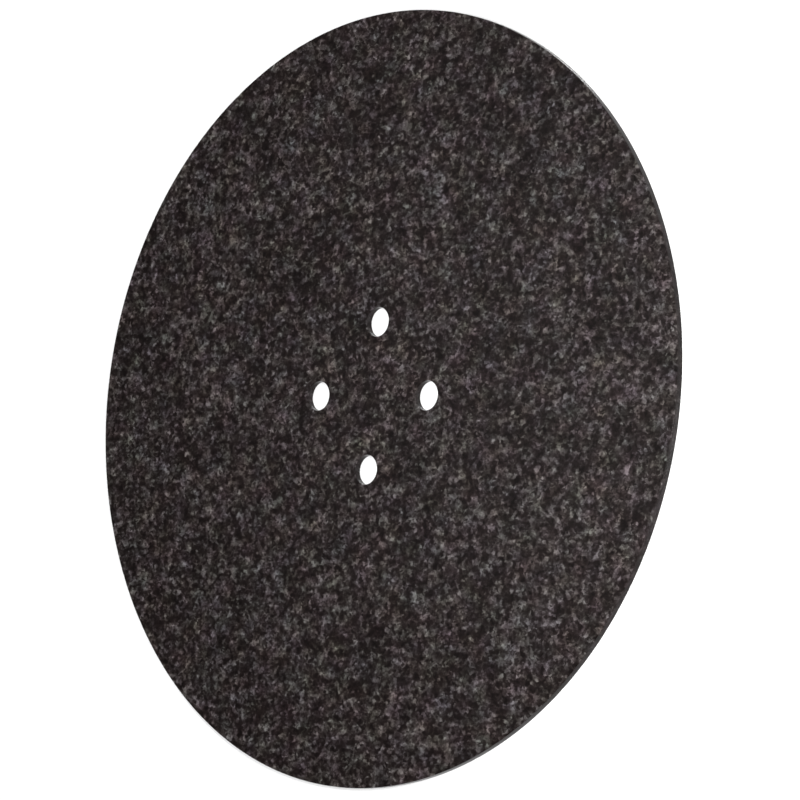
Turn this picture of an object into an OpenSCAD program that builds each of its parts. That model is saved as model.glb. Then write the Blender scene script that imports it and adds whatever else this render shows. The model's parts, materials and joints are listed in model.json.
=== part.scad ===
// Round granite slab with four plain bolt holes in a square round its centre.
// It is one piece of stone: two flat faces, a square-cut rim, and holes drilled
// straight through. Every sharp edge is eased with a small chamfer.
//
// The slab lies flat. Z = 0 is its lower face, +Z points up out of its upper
// face, the origin is the centre of the lower face, and +X runs through the
// centre of the first hole. All sizes are in millimetres.

/* [Slab] */
// Outside diameter
slab_d = 420; // [200:5:1050]
// Thickness, from face to face
slab_t = 4; // [3:0.5:30]
// Width and height of the chamfer where each face meets the rim
rim_ease = 0.3; // [0.1:0.1:1]

/* [Bolt holes] */
// Number of holes, evenly spaced round the centre
hole_count = 4; // [3:1:6]
// Diameter of each hole
hole_d = 16; // [6:0.5:25]
// Diameter of the circle through the hole centres
hole_pcd = 80; // [60:1:150]
// Width and height of the chamfer at both mouths of each hole
hole_ease = 0.3; // [0.1:0.1:0.8]

/* [Hidden] */

slab_r = slab_d / 2;
hole_r = hole_d / 2;
hole_step = 360 / hole_count;
// How far a cutter runs past the face that it opens
overcut = 1;
$fn = 180;

// Half of the slab's cross-section, from its axis out to the chamfered rim.
module slab_profile() {
    polygon([
        [0, 0],
        [slab_r - rim_ease, 0],
        [slab_r, rim_ease],
        [slab_r, slab_t - rim_ease],
        [slab_r - rim_ease, slab_t],
        [0, slab_t]
    ]);
}

// Cutter for the eased lower mouth of a hole: a cone that widens downwards and
// meets the hole's wall hole_ease above the face.
module mouth_cutter() {
    translate([0, 0, -overcut])
        cylinder(h = overcut + hole_ease, r1 = hole_r + hole_ease + overcut, r2 = hole_r);
}

// Cutter for one through hole, with both of its mouths.
module hole_cutter() {
    translate([0, 0, -overcut])
        cylinder(h = slab_t + 2 * overcut, r = hole_r);
    mouth_cutter();
    translate([0, 0, slab_t])
        mirror([0, 0, 1])
            mouth_cutter();
}

// The whole slab.
module slab() {
    color([0.20, 0.19, 0.19])
        difference() {
            rotate_extrude()
                slab_profile();
            for (i = [0 : hole_count - 1])
                rotate([0, 0, i * hole_step])
                    translate([hole_pcd / 2, 0, 0])
                        hole_cutter();
        }
}

slab();
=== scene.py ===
# %% [markdown]
# # A round granite slab
# The object is one piece of stone: a thin round plate with four plain holes drilled in a square
# round its centre. There is nothing to assemble, so the whole lesson is about two things that
# stone needs and a plain cylinder lacks: edges that are eased and slightly chipped, and a
# surface that is a tight jumble of dark and light crystals.
#
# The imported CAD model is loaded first. It is the fixed frame: every size below is read from it
# or is a finishing detail that is too small for it.

# %% Load the fixed frame
import json
import math

import bmesh
import bpy
import numpy as np
from mathutils import Matrix, Vector
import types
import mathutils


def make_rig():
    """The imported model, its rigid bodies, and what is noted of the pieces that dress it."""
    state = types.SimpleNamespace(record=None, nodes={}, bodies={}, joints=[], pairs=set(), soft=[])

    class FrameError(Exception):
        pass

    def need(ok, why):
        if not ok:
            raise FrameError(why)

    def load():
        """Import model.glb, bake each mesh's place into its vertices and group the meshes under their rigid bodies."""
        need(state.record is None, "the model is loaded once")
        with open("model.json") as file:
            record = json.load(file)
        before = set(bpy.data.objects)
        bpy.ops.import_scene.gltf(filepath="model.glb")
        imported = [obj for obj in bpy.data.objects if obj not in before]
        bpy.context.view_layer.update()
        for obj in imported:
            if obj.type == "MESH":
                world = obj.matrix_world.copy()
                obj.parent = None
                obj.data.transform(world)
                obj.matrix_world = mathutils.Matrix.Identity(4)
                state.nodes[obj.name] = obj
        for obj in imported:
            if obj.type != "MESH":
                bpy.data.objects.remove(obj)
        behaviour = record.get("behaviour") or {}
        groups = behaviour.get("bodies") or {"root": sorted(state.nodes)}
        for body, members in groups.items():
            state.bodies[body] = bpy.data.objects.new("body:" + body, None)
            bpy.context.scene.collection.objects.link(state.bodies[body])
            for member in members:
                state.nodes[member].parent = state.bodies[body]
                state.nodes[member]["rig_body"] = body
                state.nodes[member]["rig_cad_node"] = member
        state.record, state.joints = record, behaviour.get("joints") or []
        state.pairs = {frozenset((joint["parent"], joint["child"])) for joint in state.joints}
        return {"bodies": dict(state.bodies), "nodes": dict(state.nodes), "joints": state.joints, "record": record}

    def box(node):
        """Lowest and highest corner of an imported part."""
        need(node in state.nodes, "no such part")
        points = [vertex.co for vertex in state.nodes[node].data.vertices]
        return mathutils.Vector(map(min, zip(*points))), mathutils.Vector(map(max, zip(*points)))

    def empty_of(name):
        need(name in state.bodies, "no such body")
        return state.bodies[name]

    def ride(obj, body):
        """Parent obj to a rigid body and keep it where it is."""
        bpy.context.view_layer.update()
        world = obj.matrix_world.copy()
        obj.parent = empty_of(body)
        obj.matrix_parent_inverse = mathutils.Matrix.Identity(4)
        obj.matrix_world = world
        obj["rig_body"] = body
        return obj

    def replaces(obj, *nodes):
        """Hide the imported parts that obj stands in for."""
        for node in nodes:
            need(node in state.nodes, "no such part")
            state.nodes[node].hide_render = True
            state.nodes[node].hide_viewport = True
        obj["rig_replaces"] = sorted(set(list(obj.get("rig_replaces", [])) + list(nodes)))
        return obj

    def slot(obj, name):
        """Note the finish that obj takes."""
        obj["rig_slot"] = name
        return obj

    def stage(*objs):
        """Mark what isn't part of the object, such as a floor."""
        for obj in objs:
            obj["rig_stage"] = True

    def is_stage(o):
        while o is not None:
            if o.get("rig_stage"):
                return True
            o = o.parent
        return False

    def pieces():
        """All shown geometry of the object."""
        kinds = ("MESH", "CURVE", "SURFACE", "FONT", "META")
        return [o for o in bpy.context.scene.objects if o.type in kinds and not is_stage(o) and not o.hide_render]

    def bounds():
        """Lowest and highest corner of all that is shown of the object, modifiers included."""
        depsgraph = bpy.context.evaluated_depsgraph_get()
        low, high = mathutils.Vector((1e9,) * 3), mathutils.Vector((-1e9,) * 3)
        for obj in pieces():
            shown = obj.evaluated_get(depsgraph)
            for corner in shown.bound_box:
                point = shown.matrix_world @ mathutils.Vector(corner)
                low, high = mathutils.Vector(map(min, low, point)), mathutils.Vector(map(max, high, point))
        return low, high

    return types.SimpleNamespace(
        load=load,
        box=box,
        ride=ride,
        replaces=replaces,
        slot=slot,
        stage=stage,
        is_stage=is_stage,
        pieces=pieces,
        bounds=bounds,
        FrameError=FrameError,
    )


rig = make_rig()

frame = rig.load()
cad_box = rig.bounds()
slab_low, slab_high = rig.box("slab")
print("CAD box:", [tuple(round(v, 4) for v in corner) for corner in cad_box])

# %% [markdown]
# ## Sizes
# The outline comes from the CAD node's box, and the holes from the record's bolt pattern. The
# two easing sizes are a stonemason's habit: a sharp arris on granite cuts hands and chips, so
# it is rubbed off by a few tenths of a millimetre.

# %% Sizes of the stone
MM = 0.001

slab_t = slab_high[2] - slab_low[2]
slab_r = round((slab_high[0] - slab_low[0]) / 2, 3)
bolts = next(m for m in frame["record"]["mounts"] if m["kind"] == "bolt_pattern")
hole_count = bolts["dims"]["count"]
hole_r = bolts["dims"]["hole_r_mm"] * MM
hole_ring_r = bolts["dims"]["pcd_mm"] / 2 * MM

arris = 0.3 * MM  # how much of the sharp edge is rubbed off
chip_depth = 0.35 * MM  # the deepest chip along an edge
edge_band = 1.2 * MM  # the strip of face beside an edge that its chips may reach
HOLE_CHIPS = 9  # along each mouth of a hole
RIM_CHIPS = 150  # along each edge of the rim
CHIP_HALF_MM = (0.5, 1.6)  # least and greatest half-width of a chip
SLOW_WAVER = 0.12  # of arris, 5 times round the edge
QUICK_WAVER = 0.08  # of arris, 23 times round the edge
WIDEST = 0.8 * edge_band  # no worn edge is wider, so the flat face keeps its border

print(f"slab: radius {slab_r / MM:.1f} mm, thickness {slab_t / MM:.1f} mm")
print(f"holes: {hole_count} of radius {hole_r / MM:.1f} mm on a {hole_ring_r / MM:.1f} mm ring")

# %% [markdown]
# ## Chipped edges
# Diamond tools leave an arris that is nearly, but not quite, even. Modelling each chip by hand
# would be slow, and a bump map can't change the outline of an edge. So the width of the eased
# edge is a function of the distance along it: a steady amount, a slow waver, and a sum of
# smooth dips at random places. The random numbers are seeded, so the stone is the same stone
# each time.

# %% A function for the worn width of an edge
rng = np.random.default_rng(20)


def worn_width(along, length, chips):
    """Width of the eased edge at each distance along a closed edge of this length.

    The width is arris times 1 plus a waver of two sine waves, plus each chip: a raised cosine,
    half of 1 + cos(pi d / w) for distances d under its half-width w, times its depth.
    Most chips are shallow, because a depth is the cube of an even draw. The sum is cut off
    at WIDEST.
    """
    turn = 2 * np.pi * along / length
    waver = SLOW_WAVER * np.sin(5 * turn + 1) + QUICK_WAVER * np.sin(23 * turn)
    width = arris * (1 + waver)
    places = rng.uniform(0, length, chips)
    halves = rng.uniform(*CHIP_HALF_MM, chips) * MM
    depths = chip_depth * rng.uniform(0.1, 1, chips) ** 3
    for place, half, depth in zip(places, halves, depths):
        d = np.abs((along - place + length / 2) % length - length / 2)
        width = width + np.where(d < half, depth * (1 + np.cos(np.pi * d / half)) / 2, 0)
    return np.minimum(width, WIDEST)


# %% [markdown]
# ## The faces, as rays from each hole
# A disc with four holes has no simple grid. Cutting it like a cake gives one: each quarter
# holds one hole, and from that hole's centre a straight ray reaches every point of the quarter
# without crossing an edge. So a face point is known by two numbers: which ray it is on, and how
# far it is from the hole's mouth to the quarter's border. Neighbouring quarters use the same
# points on the cut between them, so they join without a seam.

# %% The border of one slice, and the rays to it
ARC_STEPS = 240  # along the slab's rim, in each slice
CUT_STEPS = 40  # along each straight cut, from the centre to the rim

slice_angle = 2 * np.pi / hole_count
face_r = slab_r - edge_band  # where the flat face ends and the rim's edge begins
mouth_r = hole_r + edge_band  # where a hole's edge ends and the flat face begins


def slice_border():
    """Points round the slice that lies along +X, counter-clockwise and without a repeat.

    First the arc at face_r, from half a slice below +X to half a slice above it, then the cut
    from there to the slab's centre, then the cut from the centre back to the start.
    """
    arc = np.linspace(-slice_angle / 2, slice_angle / 2, ARC_STEPS + 1)
    out = np.linspace(0, face_r, CUT_STEPS + 1)
    rim = np.stack([face_r * np.cos(arc), face_r * np.sin(arc)], 1)
    upper = out[-2::-1, None] * [np.cos(slice_angle / 2), np.sin(slice_angle / 2)]
    lower = out[1:-1, None] * [np.cos(slice_angle / 2), -np.sin(slice_angle / 2)]
    return np.concatenate([rim, upper, lower])


border = slice_border()
hole_centre = np.array([hole_ring_r, 0.0])
to_border = border - hole_centre
ray_length = np.hypot(to_border[:, 0], to_border[:, 1])
ray = to_border / ray_length[:, None]
ray_angle = np.arctan2(ray[:, 1], ray[:, 0])
print("rays in each slice:", len(ray))

# %% [markdown]
# ## One slice, from its border to its hole and back
# The slice is one grid. Each ray carries a profile: over the upper face to the hole, round the
# eased mouth, down the wall, round the lower mouth, and back along the lower face. The eased
# part is a quarter of a circle whose radius is the worn width, so chips bite into the face and
# the wall together.

# %% Profiles of a face and of an eased edge
QUARTER_STEPS = 6  # round the quarter circle of an eased edge
# Where a ray's points are: 1 at the slice's border, 0 at the hole, and closest at both ends.
FACE_SHARES = np.array([1, 0.996, 0.97, 0.9, 0.75, 0.55, 0.35, 0.18, 0.07, 0.015, 0])


def quarter_round(width):
    """Distances from the edge's two sides, along the quarter circle of each width.

    The first runs from width to 0 and the second from 0 to width, as
    width (1 - sin q) and width (1 - cos q) for q from 0 to a right angle.
    """
    q = np.linspace(0, np.pi / 2, QUARTER_STEPS + 1)
    return width[:, None] * (1 - np.sin(q)), width[:, None] * (1 - np.cos(q))


def slice_grid(turn):
    """Points of one slice, rays by profile by 3, turned about Z by this angle."""
    edge = 2 * np.pi * hole_r
    along = (ray_angle % (2 * np.pi)) * hole_r
    face = mouth_r + (ray_length[:, None] - mouth_r) * FACE_SHARES
    top_in, top_down = quarter_round(worn_width(along, edge, HOLE_CHIPS))
    low_in, low_up = quarter_round(worn_width(along, edge, HOLE_CHIPS))
    level = np.ones_like(face)
    middle = np.full((len(ray), 1), hole_r)
    half_way = np.full((len(ray), 1), slab_t / 2)
    lower_mouth = (hole_r + low_in)[:, ::-1]
    radius = np.concatenate([face, hole_r + top_in, middle, lower_mouth, face[:, ::-1]], 1)
    height = np.concatenate(
        [level * slab_t, slab_t - top_down, half_way, low_up[:, ::-1], level * 0], 1
    )
    flat = hole_centre + ray[:, None, :] * radius[:, :, None]
    c, s = np.cos(turn), np.sin(turn)
    x = flat[..., 0] * c - flat[..., 1] * s
    y = flat[..., 0] * s + flat[..., 1] * c
    return np.stack([x, y, slab_low[2] + height], 2)


# %% [markdown]
# ## The rim
# The rim is a surface of revolution whose profile changes slowly as it goes round. It starts
# and ends on the same circle as the flat faces, and uses the same angles, so the two kinds of
# grid share their border points.

# %% The rim's grid
def rim_grid():
    """Points of the rim, angles by profile by 3, from the lower face up to the upper face."""
    angle = np.arange(hole_count * ARC_STEPS) * slice_angle / ARC_STEPS - slice_angle / 2
    along = (angle + slice_angle / 2) * slab_r
    edge = 2 * np.pi * slab_r
    low_in, low_up = quarter_round(worn_width(along, edge, RIM_CHIPS))
    top_in, top_down = quarter_round(worn_width(along, edge, RIM_CHIPS))
    flat = np.full((len(angle), 1), face_r)
    middle = np.full((len(angle), 1), slab_r)
    level = np.ones_like(flat)
    upper_in = (slab_r - top_in)[:, ::-1]
    upper_height = (slab_t - top_down)[:, ::-1]
    radius = np.concatenate([flat, slab_r - low_in, middle, upper_in, flat], 1)
    height = np.concatenate(
        [level * 0, low_up, level * slab_t / 2, upper_height, level * slab_t], 1
    )
    x = np.cos(angle)[:, None] * radius
    y = np.sin(angle)[:, None] * radius
    return np.stack([x, y, slab_low[2] + height], 2)


# %% [markdown]
# ## From grids to one closed mesh
# Each grid wraps round in its first direction, so its quads need no special case there. All
# the grids go into one mesh, and merging the doubled border points closes it.

# %% Build the mesh
WELD = 0.002 * MM  # points nearer than this are one point


def wrapped_quads(rows, columns, first):
    """Corner numbers of a grid's quads. Rows wrap round, and first is the grid's first point."""
    r, c = np.meshgrid(np.arange(rows), np.arange(columns - 1), indexing="ij")
    near = first + r * columns + c
    far = first + (r + 1) % rows * columns + c
    return np.stack([near, far, far + 1, near + 1], 2).reshape(-1, 4)


def joined_mesh(name, grids):
    """One closed mesh from grids that share border points."""
    points, quads, first = [], [], 0
    for grid in grids:
        points.append(grid.reshape(-1, 3))
        quads.append(wrapped_quads(grid.shape[0], grid.shape[1], first))
        first += grid.shape[0] * grid.shape[1]
    mesh = bpy.data.meshes.new(name)
    mesh.from_pydata(np.concatenate(points).tolist(), [], np.concatenate(quads).tolist())
    work = bmesh.new()
    work.from_mesh(mesh)
    bmesh.ops.remove_doubles(work, verts=work.verts, dist=WELD)
    bmesh.ops.recalc_face_normals(work, faces=work.faces)
    open_edges = sum(not e.is_manifold for e in work.edges)
    volume = work.calc_volume() * 1e6
    print(f"{name}: {len(work.faces)} faces, {open_edges} open edges, {volume:.1f} cm3")
    work.to_mesh(mesh)
    work.free()
    mesh.shade_smooth()
    return mesh


grids = [slice_grid(k * slice_angle) for k in range(hole_count)] + [rim_grid()]
slab = bpy.data.objects.new("granite_slab", joined_mesh("granite_slab", grids))
bpy.context.collection.objects.link(slab)
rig.ride(slab, "root")
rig.replaces(slab, "slab")
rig.slot(slab, "granite")

# %% [markdown]
# ## Shader maths as Python
# The stone's pattern is a sum of several others, and a node graph of that is hard to read. One
# small class wraps an output socket. Arithmetic on it adds Math nodes, and its node method adds
# anything else, so the material below reads as a formula.

# %% A wire in a node tree
class Wire:
    """An output socket. A wire +, - or * a wire or a number adds a Math node.

    A number - a wire does too.
    """

    def __init__(self, tree, socket):
        self.tree = tree
        self.socket = socket

    def node(self, kind, settings, inputs, output=0):
        """Adds a node of this kind, sets it, then fills its sockets with values or wires."""
        new = self.tree.nodes.new(kind)
        for name, value in settings.items():
            if name == "stops":
                set_stops(new.color_ramp, value)
            else:
                setattr(new, name, value)
        for key, value in inputs.items():
            if isinstance(value, Wire):
                self.tree.links.new(value.socket, new.inputs[key])
            else:
                new.inputs[key].default_value = value
        return Wire(self.tree, new.outputs[output])

    def maths(self, operation, *numbers):
        return self.node("ShaderNodeMath", {"operation": operation}, dict(enumerate(numbers)))

    def __add__(self, other):
        return self.maths("ADD", self, other)

    def __sub__(self, other):
        return self.maths("SUBTRACT", self, other)

    def __mul__(self, other):
        return self.maths("MULTIPLY", self, other)

    def __rsub__(self, other):
        return self.maths("SUBTRACT", other, self)

def set_stops(ramp, stops):
    """Gives a colour ramp these stops, each a place from 0 to 1 and a colour."""
    while len(ramp.elements) < len(stops):
        ramp.elements.new(1)
    for element, (place, colour) in zip(ramp.elements, stops):
        element.position = place
        element.color = (*colour, 1)


# %% [markdown]
# ## Granite
# Granite is crystals that grew until they met, so every boundary is irregular and nothing
# repeats. Here black mica and hornblende fill most of the stone, and grey feldspar and quartz
# sit between them in grains of 1 to 4 mm. Three sizes of Voronoi cell give the crystals, each
# cell with one tone, and the coordinates are bent by noise first, so that no boundary is
# straight. Soft noise joins neighbouring grains into the clusters that the eye sees. It also
# scales the small grains, because mica is flat black from side to side, while a cluster of
# feldspar is broken into many tones. A much larger noise lets the whole stone drift between
# darker and lighter. The grains are a little longer across the slab than along it, because
# the rock flowed slightly as it set. The pattern is solid: it reads the place in the stone,
# so it runs through holes and rim. The faces are honed and dull, while the rim and the holes
# are finely polished, so they are smoother and mirror a little more.

# %% The pattern of crystals
COARSE, FINE, FLECK = 3.1 * MM, 1.5 * MM, 0.9 * MM  # crystals
BEND = 2.0 * MM  # size of the noise that bends their borders, and how far it pushes
CLUSTER, PATCH, DRIFT = 3.2 * MM, 8 * MM, 45 * MM  # groups of grains, and wider changes
TINT = 9 * MM  # patches that lean a little towards one colour
WALL_TONE = 0.36  # the tone that a polished wall tends to
WALL_SHARE = 0.6  # how far it goes towards that tone
FACE_ROUGH = 0.42  # roughness of a honed face where the stone is darkest
POLISH = 0.24  # how much less it is on a wall


def cloud(place, size, detail=2.0, output=0):
    """Smooth noise of this size, about 0.5 on average. Output 1 is three of them, as a colour."""
    inputs = {"Vector": place, "Scale": 1 / size, "Detail": detail}
    return place.node("ShaderNodeTexNoise", {}, inputs, output)


def bent(place, size, amount):
    """The place, pushed about by noise of this size, by up to about half of amount."""
    noise = cloud(place, size, output=1)
    push = (amount, amount, amount)
    settings = {"operation": "MULTIPLY_ADD"}
    return place.node("ShaderNodeVectorMath", settings, {0: noise, 1: push, 2: place})


def crystals(place, size):
    """A random tone from 0 to 1 for each crystal of about this size."""
    inputs = {"Vector": place, "Scale": 1 / size}
    cell = place.node("ShaderNodeTexVoronoi", {"feature": "F1"}, inputs, 1)
    return cell.node("ShaderNodeSeparateColor", {}, {0: cell})


def tinted(share, first, second):
    """The first colour, darker or lighter in each channel by this share of the second."""
    settings = {"data_type": "RGBA", "blend_type": "OVERLAY"}
    return second.node("ShaderNodeMix", settings, {0: share, 6: first, 7: second}, 2)


def granite():
    """The stone: tone by crystal, then colour, gloss and relief from the tone."""
    material = bpy.data.materials.new("dark_granite")
    material.use_nodes = True
    tree = material.node_tree
    tree.nodes.clear()
    place = Wire(tree, tree.nodes.new("ShaderNodeTexCoord").outputs["Object"])

    # How far a point is from both faces, as a share of the eased edge: 0 on a face, 1 on a wall.
    height = place.node("ShaderNodeSeparateXYZ", {}, {0: place}, 2)
    depth = height.maths("MINIMUM", height - slab_low[2], slab_high[2] - height)
    span = {0: depth, "From Min": 0.2 * arris, "From Max": arris}
    wall = depth.node("ShaderNodeMapRange", {}, span)

    stretch = {"Vector": place, "Scale": (1, 0.8, 1)}
    flow = place.node("ShaderNodeMapping", {"vector_type": "POINT"}, stretch)
    grown = bent(flow, BEND, BEND)
    coarse = crystals(grown, COARSE)
    fine = crystals(grown, FINE)
    flecks = crystals(grown, FLECK)
    clusters = cloud(grown, CLUSTER, 3.0)
    patches = cloud(flow, PATCH)
    # The tone is a weighted sum: each number is how far that pattern sways it.
    grains = (fine * 0.33 + flecks * 0.12) * (clusters * 2.5 - 0.25)
    tone = coarse * 0.21 + grains + clusters * 0.32 + patches * 0.29 - 0.19
    tone = tone + (cloud(place, DRIFT) - 0.5) * 0.08
    # A polished wall is darker and more even.
    tone = tone + (WALL_TONE - tone) * wall * WALL_SHARE

    colour = tone.node(
        "ShaderNodeValToRGB",
        {
            "stops": [
                (0.15, (0.0018, 0.0006, 0.0005)),
                (0.36, (0.0079, 0.0051, 0.0048)),
                (0.52, (0.0232, 0.0184, 0.0181)),
                (0.70, (0.0626, 0.0541, 0.0536)),
                (0.95, (0.1410, 0.1290, 0.1282)),
            ]
        },
        {0: tone},
    )
    tint = cloud(flow, TINT, 0.0, 1)
    colour = tinted(0.13, colour, tint)
    bump = {"Strength": 0.25, "Distance": 0.03 * MM, "Height": tone}
    relief = tone.node("ShaderNodeBump", {}, bump)
    rough = FACE_ROUGH - tone * 0.12 - wall * POLISH
    surface = tone.node(
        "ShaderNodeBsdfPrincipled",
        {},
        {"Base Color": colour, "Roughness": rough, "Specular IOR Level": 0.1, "Normal": relief},
    )
    tree.links.new(surface.socket, tree.nodes.new("ShaderNodeOutputMaterial").inputs["Surface"])
    return material


slab.data.materials.append(granite())

# %% [markdown]
# ## Floor, light and camera
# The slab lies on a plain pale floor, so its outline and the four holes read against white.
# The floor has a slight gloss, like a sheet of acrylic. The light is plain and soft, from
# four lamps with a job each. The daylight keeps the whole floor pale. The key stands close on
# the near side, so the stone brightens gently towards it. The ceiling box lies where the
# honed face would mirror it, and puts a faint haze on the near half. The strip stands well
# off to one side: the floor mirrors it, and the polished rim mirrors that, which draws one
# thin bright line along the edge. The backdrop is palest at the horizon, so the floor fades
# into it when it is seen from low down. A long lens from about 2 m looks down at 46 degrees,
# and the camera is rolled, so the slab seems to stand on edge.

# %% Floor
FLOOR_SIZE = 40
FLOOR_GAP = 0.02 * MM  # keeps the floor and the lower face from sharing one plane

bpy.ops.mesh.primitive_plane_add(size=FLOOR_SIZE, location=(0, 0, slab_low[2] - FLOOR_GAP))
floor = bpy.context.object
floor.name = "studio_floor"
paint = bpy.data.materials.new("pale_floor")
paint.use_nodes = True
sockets = paint.node_tree.nodes["Principled BSDF"].inputs
sockets["Base Color"].default_value = (0.95, 0.95, 0.95, 1)
sockets["Roughness"].default_value = 0.12
sockets["Specular IOR Level"].default_value = 0.5
floor.data.materials.append(paint)
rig.stage(floor)

# %% Lights
world = bpy.data.worlds.new("studio")
bpy.context.scene.world = world
world.use_nodes = True
sky = world.node_tree
backdrop = sky.nodes["Background"]
way = Wire(sky, sky.nodes.new("ShaderNodeTexCoord").outputs["Generated"])
rise = way.node("ShaderNodeSeparateXYZ", {}, {0: way}, 2)
fade = {0: rise, "From Min": 0.1, "From Max": 0.4, "To Min": 0.7, "To Max": 0.15}
glow = rise.node("ShaderNodeMapRange", {}, fade)
sky.links.new(glow.socket, backdrop.inputs["Strength"])
backdrop.inputs["Color"].default_value = (1, 1, 1, 1)


def lamp(name, kind, place, power):
    """A lamp of this kind at this place, facing the origin. Returns its data.

    Power is in watts, or in watts per square metre for a sun.
    """
    light = bpy.data.lights.new(name, kind)
    light.energy = power
    holder = bpy.data.objects.new(name, light)
    holder.location = place
    holder.rotation_euler = Vector(place).to_track_quat("Z", "Y").to_euler()
    bpy.context.collection.objects.link(holder)
    return light


def softbox(name, place, width, height, power):
    """A flat rectangular lamp, with its sides in metres."""
    light = lamp(name, "AREA", place, power)
    light.shape = "RECTANGLE"
    light.size = width
    light.size_y = height


daylight = lamp("daylight", "SUN", (-0.12, -0.95, 1.2), 1.3)
daylight.angle = math.radians(15)
softbox("key", (-0.1, -0.52, 0.52), 0.4, 0.4, 6.1)
softbox("strip", (1.05, 0.37, 1.086), 0.35, 0.1, 8)
softbox("ceiling", (0.1, 0.36, 0.85), 0.5, 0.5, 1.6)

# %% Camera
LENS_MM = 171
SENSOR_MM = 36
AIM = Vector((-0.0022, -0.0192, 0.002))  # the point that the camera faces, in metres
AZIMUTH, ELEVATION, ROLL = 7.27, 46.37, 80.2  # degrees
DISTANCE = 2.029  # metres from AIM
NEAR_CLIP = 0.05

camera = bpy.data.cameras.new("camera")
camera.lens = LENS_MM
camera.sensor_width = SENSOR_MM
camera.clip_start = NEAR_CLIP
viewer = bpy.data.objects.new("camera", camera)
bpy.context.collection.objects.link(viewer)
pan, tilt = math.radians(AZIMUTH), math.radians(ELEVATION)
sight = Vector(
    (math.sin(pan) * math.cos(tilt), math.cos(pan) * math.cos(tilt), -math.sin(tilt))
)
level = sight.to_track_quat("-Z", "Y").to_matrix()
turned = level @ Matrix.Rotation(math.radians(-ROLL), 3, "Z")
viewer.matrix_world = Matrix.Translation(AIM - sight * DISTANCE) @ turned.to_4x4()
bpy.context.scene.camera = viewer
bpy.context.scene.view_settings.view_transform = "Standard"

with open("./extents.json", "w") as f:
    json.dump({"cad": [list(c) for c in cad_box], "visual": [list(c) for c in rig.bounds()]}, f)
print(open("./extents.json").read())
